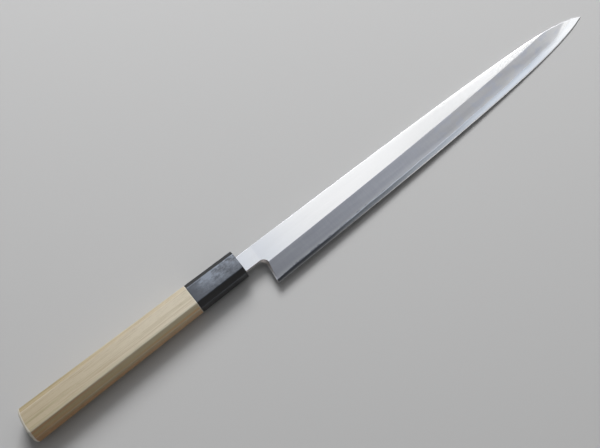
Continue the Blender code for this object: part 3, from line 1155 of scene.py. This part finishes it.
    def stations(self) -> list[Station]:
        """Lays out the cuts through the blade.

        Returns:
            The cuts from the neck's shoulder to just behind the tip.
        """
        slope, rake = math.tan(self.heel_slope), math.tan(self.heel_rake)
        corner = self.heel + (self.neck_bottom - self.edge_at_heel) * rake
        sweep = 0.5 * math.pi + self.heel_rake
        middle = (corner - self.neck_fillet * math.tan(0.5 * sweep), self.neck_bottom - self.neck_fillet)
        heel_top = self.heel + self.heel_height * rake
        places = sorted((self.shoulder, self.ferrule_face, self.steel_start, *self.neck_cuts))
        found = [Station((x, self.neck_bottom), x) for x in places]
        low_x, top_x, share = self.leaning_cut
        found.append(Station((low_x, self.neck_bottom), top_x, share * slope))
        for step in range(self.notch_steps + 1):
            turn = 0.5 * math.pi - sweep * step / self.notch_steps
            along, up = self.neck_fillet * math.cos(turn), self.neck_fillet * math.sin(turn)
            top_x = mix(middle[0] + self.notch_top, heel_top, step / self.notch_steps)
            found.append(Station((middle[0] + along, middle[1] + up), top_x, slope))
        found.append(Station((self.heel, self.edge_at_heel), heel_top, slope))
        x, step = self.heel, self.fine_cut
        while x < self.tip - self.end_reach:
            x += step
            step = min(self.coarse_cut, step * self.cut_growth)
            fade = max(0.0, 1.0 - (x - self.heel) / self.end_reach) ** 2
            found.append(Station((x, self.edge_y(x)), x + (heel_top - self.heel) * fade, slope * fade))
        last = self.tip - self.point_length
        count = round((last - x) / self.fine_cut)
        rest = [mix(x, last, i / count) for i in range(1, count + 1)]
        return found + [Station((place, self.edge_y(place)), place) for place in rest]

    def ring(self, station: Station) -> Ring:
        """Draws the ring of points where a cut meets the blade's surface.

        Args:
            station: the cut.

        Returns:
            The ring's points, each with its surface and its height above the weld line.
        """
        leans = station.lean > 0 or station.top_x != station.low[0]
        x0, y0 = station.low
        loop, weld_y = self.section(x0)
        found = []
        for i, point in enumerate(loop):
            x, y, z, weld = x0, max(point.y, y0), point.z, weld_y
            for _ in range(self.lean_rounds if leans else 0):
                slant = (station.top_x - x0) * (y - y0) / (self.spine_y(x) - y0)
                x = x0 + slant + station.lean * (z - self.back)
                there, weld = self.section(x)
                y, z = max(there[i].y, y0), there[i].z
            found.append((Vector((x, y, z)), point.zone, y - weld))
        return found

    def past_heel(self, x: Wire, start: float, end: float) -> Wire:
        """Returns a rise from 0 to 1 between two distances from the heel."""
        return x.ease(self.heel + start, self.heel + end)

    def near_tip(self, x: Wire, start: float, end: float) -> Wire:
        """Returns a rise from 0 to 1 between two distances from the tip, the further one first."""
        return x.ease(self.tip - start, self.tip - end)


@dataclass(frozen=True)
class GroundMetal:
    """Metal as a stone, wheel or file leaves it.

    The lines that the tool leaves are in waves to a metre, and depth is how far they are cut in.
    """

    name: str
    light: Colour
    dark: Colour
    roughness: float
    lines: Place
    depth: float
    uneven: float = 0.06
    metallic: float = 1.0
    cloud_grain: Place = (22.0, 130.0, 130.0)

    def material(self) -> bpy.types.Material:
        """Makes the material.

        Returns:
            The material.
        """
        graph = Graph.material(self.name)
        place = graph.place()
        lines = graph.noise(place, self.lines, 3.0, 0.65)
        clouds = graph.noise(place, self.cloud_grain, 3.0, 0.55)
        tone = 0.5 * lines.ease(0.30, 0.70) + 0.5 * clouds.ease(0.32, 0.68)
        return graph.surface(
            {
                "Base Color": graph.tint(self.light, self.dark, tone),
                "Metallic": self.metallic,
                "Roughness": self.roughness + self.uneven * (2.0 * clouds + 0.5 * lines - 1.25),
                "Normal": graph.relief(lines, self.depth),
            }
        )


@dataclass(frozen=True)
class StonedBevel:
    """Soft iron of the bevel: matt from the stones, cloudy, and lighter where it thins out over the steel.
    Towards the tip it is polished, and its colour there is lightened as a painted reflection.

    Each grain is in waves to a metre. The neutral tone multiplies the bluish iron, apart from the patches
    that stay blue.
    """

    name: str = "bevel_stoned"
    light: Colour = (0.370, 0.386, 0.430)
    dark: Colour = (0.266, 0.280, 0.320)
    neutral: Colour = (1.030, 1.000, 0.935)
    # Colour of the painted reflection near the tip.
    bright: Colour = (0.820, 0.828, 0.840)
    line: Colour = (0.130, 0.140, 0.165)
    stone_grain: Place = (1400.0, 110.0, 110.0)
    cloud_grain: Place = (26.0, 210.0, 210.0)
    flow_grain: Place = (60.0, 420.0, 420.0)
    patch_grain: Place = (150.0, 230.0, 230.0)
    fray_grain: Place = (270.0, 90.0, 90.0)
    cloud_drift: float = 0.0016
    halo_width: float = 0.0026
    fray: float = 0.0040
    climb: float = 0.0001
    line_width: float = 0.0002
    roughness: float = 0.46
    bright_roughness: float = 0.24
    relief: float = 0.0000030

    def material(self, form: BladeForm) -> bpy.types.Material:
        """Makes the material.

        Args:
            form: form of the blade whose bevel it is for.

        Returns:
            The material.
        """
        graph = Graph.material(self.name)
        place = graph.place()
        x, _, _ = graph.split(place)
        above = graph.attribute(FROM_WELD)
        stone = graph.noise(place, self.stone_grain, 3.0, 0.6)
        clouds = graph.noise(place, self.cloud_grain, 3.0, 0.55)
        flow = graph.noise(place, self.flow_grain, 2.0)
        patches = graph.noise(place, self.patch_grain, 1.0).ease(0.50, 0.62)
        frayed = self.fray * (graph.noise(place, self.fray_grain, 2.0) - 0.47)

        thin = form.near_tip(x, 0.095, 0.004)
        plain = form.past_heel(x, 0.090, 0.150) * (1.0 - 0.85 * patches)
        tone = 0.45 + (0.9 + 1.3 * thin) * (clouds - 0.5) + 0.5 * (flow - 0.5) + 0.55 * (stone - 0.5)
        colour = graph.tint(self.light, self.dark, tone - 0.25 * plain * thin)
        colour = graph.tint(colour, self.neutral, plain, "MULTIPLY")
        halo = 1.0 - (above + self.cloud_drift * (clouds - 0.5)).ease(0.0, self.halo_width)
        # Near the tip the iron is polished, and its colour is lightened there as a painted reflection.
        polish_and_glare = 0.30 * form.near_tip(x, 0.036, 0.012) + 0.70 * form.near_tip(x - 3.0 * above, 0.021, 0.014)
        colour = graph.tint(colour, self.bright, polish_and_glare + 0.17 * halo)
        climb = self.climb * (form.past_heel(x, 0.025, 0.050) - form.past_heel(x, 0.090, 0.110))
        ragged = 1.0 - (above - climb + frayed).ease(0.0, self.line_width)
        colour = graph.tint(colour, self.line, 0.75 * ragged * (1.0 - form.past_heel(x, 0.050, 0.105)))
        rough = self.roughness - (self.roughness - self.bright_roughness) * polish_and_glare + 0.10 * (clouds - 0.5)
        return graph.surface(
            {
                "Base Color": colour,
                "Metallic": 1.0,
                "Roughness": rough,
                "Normal": graph.relief(stone, self.relief),
            }
        )


@dataclass(frozen=True)
class BrightBand:
    """Hard steel beside the edge, brighter than the iron, with a painted reflection in its colour: dark at
    the heel, light towards the tip. Its dark border at the weld fades from the heel on.

    Each grain is in waves to a metre.
    """

    name: str = "band_bright_steel"
    # Colours of the painted reflection along the band, from the heel to the tip.
    heel: Colour = (0.300, 0.315, 0.345)
    middle: Colour = (0.572, 0.618, 0.690)
    light: Colour = (0.870, 0.882, 0.896)
    border: Colour = (0.110, 0.120, 0.145)
    line_grain: Place = (1500.0, 60.0, 60.0)
    cloud_grain: Place = (40.0, 300.0, 300.0)
    cloud_drift: float = 0.0016
    border_from: Point = (-0.0019, -0.0006)
    roughness: float = 0.16
    relief: float = 0.0000012

    def material(self, form: BladeForm) -> bpy.types.Material:
        """Makes the material.

        Args:
            form: form of the blade whose edge it is for.

        Returns:
            The material.
        """
        graph = Graph.material(self.name)
        place = graph.place()
        x, _, _ = graph.split(place)
        above = graph.attribute(FROM_WELD)
        lines = graph.noise(place, self.line_grain, 3.0, 0.6)
        clouds = graph.noise(place, self.cloud_grain, 3.0, 0.55)
        near = (above + self.cloud_drift * (clouds - 0.5)).ease(*self.border_from)
        shade = 0.85 - 0.45 * form.past_heel(x, 0.032, 0.060) - 0.25 * form.past_heel(x, 0.080, 0.120)
        shade = shade - 0.15 * form.near_tip(x, 0.026, 0.012)
        painted_tip_glare = form.near_tip(x, 0.055, 0.002) - 0.16 * clouds.ease(0.3, 0.7)
        # Painted reflection: dark at the heel where the steel mirrors the dark room, bluish in the middle,
        # light towards the tip.
        colour = graph.tint(self.heel, self.middle, form.past_heel(x, 0.020, 0.062))
        colour = graph.tint(colour, self.light, painted_tip_glare)
        colour = graph.tint(colour, self.border, shade * near)
        return graph.surface(
            {
                "Base Color": colour,
                "Metallic": 1.0,
                "Roughness": self.roughness + 0.08 * (clouds - 0.5) + 0.04 * (lines - 0.5),
                "Normal": graph.relief(lines, self.relief),
            }
        )


ALONG = (14.0, 2600.0, 2600.0)
ACROSS = (2400.0, 22.0, 22.0)
COARSE = (300.0, 900.0, 900.0)
GROUND = {
    Zone.FLAT: GroundMetal(
        "flat_polished", (0.636, 0.640, 0.648), (0.600, 0.604, 0.612), 0.17, ALONG, 1.0e-6, 0.02
    ),
    Zone.EDGE: GroundMetal(
        "edge_honed", (0.700, 0.705, 0.715), (0.620, 0.625, 0.640), 0.20, ACROSS, 1.0e-6, 0.03
    ),
    Zone.SPINE: GroundMetal(
        "spine_polished", (0.500, 0.506, 0.520), (0.430, 0.436, 0.452), 0.42, ALONG, 2.0e-6, 0.04
    ),
    Zone.RIM: GroundMetal(
        "back_rim_stoned", (0.660, 0.665, 0.675), (0.600, 0.605, 0.620), 0.14, ALONG, 0.8e-6, 0.03
    ),
    Zone.HOLLOW: GroundMetal(
        "hollow_ground", (0.560, 0.565, 0.580), (0.460, 0.465, 0.482), 0.30, ACROSS, 3.0e-6, 0.05
    ),
    # The filed notch is coloured paler and pinker than filed steel: painted light.
    Zone.NOTCH: GroundMetal(
        "notch_filed_painted_light", (0.740, 0.692, 0.672), (0.620, 0.580, 0.562), 0.52, COARSE, 2.0e-6
    ),
    Zone.FORGED: GroundMetal(
        "tang_forge_black", (0.060, 0.050, 0.045), (0.022, 0.020, 0.020), 0.62, COARSE, 30.0e-6, 0.10, 0.55
    ),
}


@dataclass(frozen=True)
class Blade:
    """Laminated blade: soft iron with neck and tang, and the hard steel welded behind it."""

    form: BladeForm = field(default_factory=BladeForm)
    tang_end: float = 0.0471
    tang_point: float = 0.0040
    tang_point_share: Point = (0.4, 0.5)
    tang_root: Point = (0.0078, 0.0024)
    tang_tail: Point = (0.0042, 0.0016)
    nose: float = 0.0003
    crease_angle: float = 26.0

    def build(self) -> list[bpy.types.Object]:
        """Builds the blade.

        Returns:
            Its two finished pieces, iron and steel.
        """
        form = self.form
        stations = form.stations()
        rings = [form.ring(station) for station in stations]
        start = next(i for i, station in enumerate(stations) if station.low[0] >= form.steel_start)
        heel = next(i for i, station in enumerate(stations) if station.low[1] == form.edge_at_heel)
        iron = self.iron(rings, [station.lean for station in stations], start, heel)
        steel = self.steel(rings[start:], heel - start)
        finishes = {zone: finish.material() for zone, finish in GROUND.items()}
        matt, bright = StonedBevel().material(form), BrightBand().material(form)
        on_iron = [finishes.get(zone, matt) for zone in Zone]
        on_steel = [finishes.get(zone, bright) for zone in Zone]
        return [
            piece("blade_of_soft_iron", iron, Slot.IRON, "blade_soft_iron", on_iron),
            piece("edge_of_hard_steel", steel, Slot.STEEL, "blade_edge_steel", on_steel),
        ]

    def iron(self, rings: Sequence[Ring], leans: Sequence[float], start: int, heel: int) -> BMesh:
        """Shapes the iron: tang, neck and all of the blade in front of the weld.

        Args:
            rings: rings of the blade's points, as BladeForm.ring gives them.
            leans: how far each ring leans.
            start: number of the ring where the steel starts.
            heel: number of the ring at the heel.

        Returns:
            The mesh of the iron.
        """
        form = self.form
        parted = []
        for index, (ring, lean) in enumerate(zip(rings, leans)):
            if index <= start:
                parted.append([tuple(co) for co, _, _ in ring])
            if index >= start:
                row = [self.above_weld(co, above, lean) for co, _, above in ring]
                if max(z - form.weld_z(x) for x, _, z in row) < SAME_PLACE:
                    break
                parted.append(row)
        last = parted[-1]
        nose_x, nose_y, _ = max(last, key=lambda co: co[1])
        nose_x += self.nose
        parted.append([(nose_x, nose_y, form.weld_z(nose_x))] * len(last))
        middle = (0.5 * (form.spine_height + form.neck_bottom), form.back + 0.5 * form.neck_thickness)
        tang = []
        for x, (height, thick), share in (
            (self.tang_end, self.tang_tail, self.tang_point_share),
            (self.tang_end + self.tang_point, self.tang_tail, (1.0, 1.0)),
            (form.shoulder, self.tang_root, (1.0, 1.0)),
        ):
            high, deep = share[0] * height / form.neck_height, share[1] * thick / form.neck_thickness
            tang.append([(x, (y - middle[0]) * high, (z - middle[1]) * deep) for _, y, z in parted[0]])
        bm = skin(tang + parted)
        self.tag(bm, [zone for _, zone, _ in rings[0]], len(tang), len(tang) + heel + 1)
        return self.finish(bm)

    def steel(self, rings: Sequence[Ring], heel: int) -> BMesh:
        """Shapes the steel: all of the blade behind the weld.

        Args:
            rings: rings of the blade's points, from where the steel starts.
            heel: number of the ring at the heel.

        Returns:
            The mesh of the steel.
        """
        form = self.form
        parted = [[(co.x, co.y, min(co.z, form.weld_z(co.x))) for co, _, _ in ring] for ring in rings]
        parted.append([(form.tip, form.tip_height, form.back + form.point_lift)] * len(parted[0]))
        bm = skin(parted)
        self.tag(bm, [zone for _, zone, _ in rings[0]], 0, heel)
        return self.finish(bm)

    def above_weld(self, co: Vector, above: float, lean: float) -> Place:
        """Returns co, moved up to the weld in a leaning cut, or onto it where co is below the weld line."""
        level = max(co.z, self.form.weld_z(co.x))
        return co.x + lean * (level - co.z), co.y - min(0.0, above), level

    def tag(self, bm: BMesh, zones: Sequence[Zone], first: int, heel: int) -> None:
        """Gives each face of a skin its zone.

        Args:
            bm: the skin.
            zones: zone that starts at each point of a ring.
            first: number of the ring where the blade starts after the tang.
            heel: number of the ring at the heel, before which what lies under the flat is the filed notch.
        """
        form = self.form
        slack = 0.5 * form.ridge_ease
        bm.faces.ensure_lookup_table()
        for index, face in enumerate(bm.faces):
            row, column = divmod(index, len(zones))
            zone = zones[column]
            middle = face.calc_center_median()
            if row < first:
                zone = Zone.FORGED
            elif row < heel and zone in (Zone.EDGE, Zone.BEVEL):
                zone = Zone.NOTCH
            elif zone is Zone.FLAT and middle.x > form.heel and middle.y < form.ridge_y(middle.x) - slack:
                zone = Zone.BEVEL
            face.material_index = zone

    def finish(self, bm: BMesh) -> BMesh:
        """Closes a half of the blade, notes each point's height above the weld line and creases its edges.

        Args:
            bm: mesh of the half.

        Returns:
            The same mesh.
        """
        close(bm)
        layer = bm.verts.layers.float.new(FROM_WELD)
        lines: dict[float, float] = {}
        for vert in bm.verts:
            x = round(clamp(vert.co.x, self.form.shoulder, self.form.tip - self.form.point_length), 5)
            if x not in lines:
                lines[x] = self.form.section(x)[1]
            vert[layer] = vert.co.y - lines[x]
        crease(bm, self.crease_angle, SHARP_BORDERS)
        return bm


# Studio


@dataclass(frozen=True)
class Lamp:
    """Soft rectangular lamp, placed on the knife's own axis. It shines straight down if it has no aim."""

    name: str
    place: Place
    size: Point
    glow: float
    colour: Colour = (1.0, 1.0, 1.0)
    aim: Place | None = None

    def build(self) -> None:
        """Hangs up the lamp, whose power gives its face the radiance glow."""
        light = bpy.data.lights.new(self.name, "AREA")
        light.shape = "RECTANGLE"
        light.size, light.size_y = self.size
        light.energy = self.glow * math.pi * self.size[0] * self.size[1]
        light.color = self.colour
        lamp = bpy.data.objects.new(self.name, light)
        place = Vector(self.place)
        way = Vector(self.aim) - place if self.aim else Vector((0.0, 0.0, -1.0))
        turned = way.to_track_quat("-Z", "Y").to_matrix().to_4x4()
        lamp.matrix_world = Matrix.Translation(place + ORIGIN) @ turned
        lamp.visible_camera = False
        bpy.context.scene.collection.objects.link(lamp)


@dataclass(frozen=True)
class Studio:
    """Pale floor, soft lamps and the camera at the photograph's angle."""

    focal: float = 81.72
    film_width: float = 36.0
    sight: Point = (0.05, 30.0)
    camera_place: Place = (0.1003, -0.23965, 0.7249)
    camera_right: Place = (0.7876, -0.6075, -0.1033)
    camera_up: Place = (0.6056, 0.7321, 0.3119)
    floor_colour: Colour = (0.60, 0.60, 0.60)
    floor_reach: float = 9.0
    floor_middle: Place = (0.2, 0.0, 0.0)
    floor_fade: Point = (0.32, 0.80)
    ferrule_contact: Point = (0.1467, -0.00695)
    tip_contact: Point = (0.3912, -0.0014)
    floor_gap: float = 0.0001
    soft_light: float = 0.14
    seen_ceiling: float = 0.14
    seen_walls: float = 0.38
    wall_top: Point = (0.25, 0.60)
    lamps: tuple[Lamp, ...] = (
        Lamp("overhead", (0.39, 0.56, 1.0), (0.22, 0.96), 1.15),
        Lamp("overhead_far", (0.95, 0.56, 1.0), (0.90, 0.96), 0.85),
        Lamp("overhead_cool", (0.185, 0.37, 1.0), (0.19, 0.54), 0.80, (0.90, 0.97, 1.10)),
        Lamp("overhead_near", (0.26, 0.025, 1.0), (0.42, 0.11), 0.50),
        Lamp("key", (0.64, 0.78, 0.88), (0.60, 0.60), 12.4, aim=(0.20, 0.0, 0.0)),
        Lamp("tip_card", (0.865, -0.06, 1.0), (0.57, 0.28), 1.02),
        Lamp("tip_card_dim", (0.525, -0.06, 1.0), (0.11, 0.28), 0.44),
        Lamp("edge_card", (0.665, -0.33, 1.0), (0.43, 0.13), 1.2),
    )

    def build(self) -> None:
        """Sets up the floor, the lamps, the light from the room and the camera."""
        self.floor()
        self.room()
        for lamp in self.lamps:
            lamp.build()
        self.camera()
        bpy.context.scene.view_settings.view_transform = "Standard"

    def floor(self) -> None:
        """Lays the floor under the ferrule and the tip, on which a blade-heavy knife rests."""
        bm = bmesh.new()
        bmesh.ops.create_grid(bm, x_segments=1, y_segments=1, size=self.floor_reach)
        run, rise = (b - a for a, b in zip(self.ferrule_contact, self.tip_contact))
        level = self.ferrule_contact[1] - self.ferrule_contact[0] * rise / run - self.floor_gap
        for vert in bm.verts:
            vert.co.z = level + vert.co.x * rise / run
        bmesh.ops.transform(bm, matrix=Matrix.Translation(ORIGIN), verts=bm.verts[:])
        mesh = bpy.data.meshes.new("floor")
        bm.to_mesh(mesh)
        bm.free()
        mesh.materials.append(self.floor_finish())
        floor = bpy.data.objects.new("floor", mesh)
        bpy.context.scene.collection.objects.link(floor)

    def floor_finish(self) -> bpy.types.Material:
        """Makes the floor's pale finish, which far from the knife is seen in one even tone.

        Returns:
            The material.
        """
        graph = Graph.material("floor_pale")
        pale = (*self.floor_colour, 1.0)
        near = graph.node("ShaderNodeBsdfDiffuse", inputs={"Color": pale, "Roughness": 0.3})
        far = graph.node("ShaderNodeEmission", inputs={"Color": pale, "Strength": 1.0})
        ends = {0: graph.place(), 1: self.floor_middle}
        away = graph.node("ShaderNodeVectorMath", {"operation": "DISTANCE"}, ends, output="Value")
        share = away.ease(*self.floor_fade) * graph.seen()
        mixed = graph.node("ShaderNodeMixShader", inputs={0: share, 1: near, 2: far})
        graph.node("ShaderNodeOutputMaterial", inputs={"Surface": mixed})
        return graph.owner

    def room(self) -> None:
        """Fills the world with soft light. The camera and gloss see pale walls under a dim ceiling."""
        world = bpy.data.worlds.new("room")
        graph = Graph(world)
        up = graph.split(graph.node("ShaderNodeTexCoord", output="Generated"))[2]
        shown = self.seen_walls + (self.seen_ceiling - self.seen_walls) * up.ease(*self.wall_top)
        strength = self.soft_light + (shown - self.soft_light) * graph.seen()
        sky = graph.node("ShaderNodeBackground", inputs={"Color": (1.0, 1.0, 1.0, 1.0), "Strength": strength})
        graph.node("ShaderNodeOutputWorld", inputs={"Surface": sky})
        bpy.context.scene.world = world

    def camera(self) -> None:
        """Puts the camera where the photograph was taken from."""
        lens = bpy.data.cameras.new("camera")
        lens.lens, lens.sensor_width, lens.sensor_fit = self.focal, self.film_width, "HORIZONTAL"
        lens.clip_start, lens.clip_end = self.sight
        camera = bpy.data.objects.new("camera", lens)
        right = Vector(self.camera_right).normalized()
        back = right.cross(Vector(self.camera_up)).normalized()
        turned = Matrix((right, back.cross(right), back)).transposed().to_4x4()
        camera.matrix_world = Matrix.Translation(Vector(self.camera_place) + ORIGIN) @ turned
        bpy.context.scene.collection.objects.link(camera)
        bpy.context.scene.camera = camera


def find_origin(form: BladeForm) -> Vector:
    """Finds where the knife's own axis starts in the frame, from the boxes of the ferrule and the edge steel.

    Args:
        form: form of the blade, which says where the tip lies on the axis.

    Returns:
        The start of the axis.
    """
    low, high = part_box("horn_ferrule")
    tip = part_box("blade_edge_steel")[1].x
    return Vector((tip - form.tip, 0.5 * (low.y + high.y), 0.5 * (low.z + high.z)))


ORIGIN = find_origin(BladeForm())


def main() -> None:
    """Builds the knife and the studio."""
    logging.basicConfig(level=logging.INFO, format="%(name)s: %(message)s")
    stock = OctagonStock()
    WoodHandle(stock).build()
    HornFerrule(stock).build()
    Blade().build()
    Studio().build()


if __name__ == "__main__":
    main()
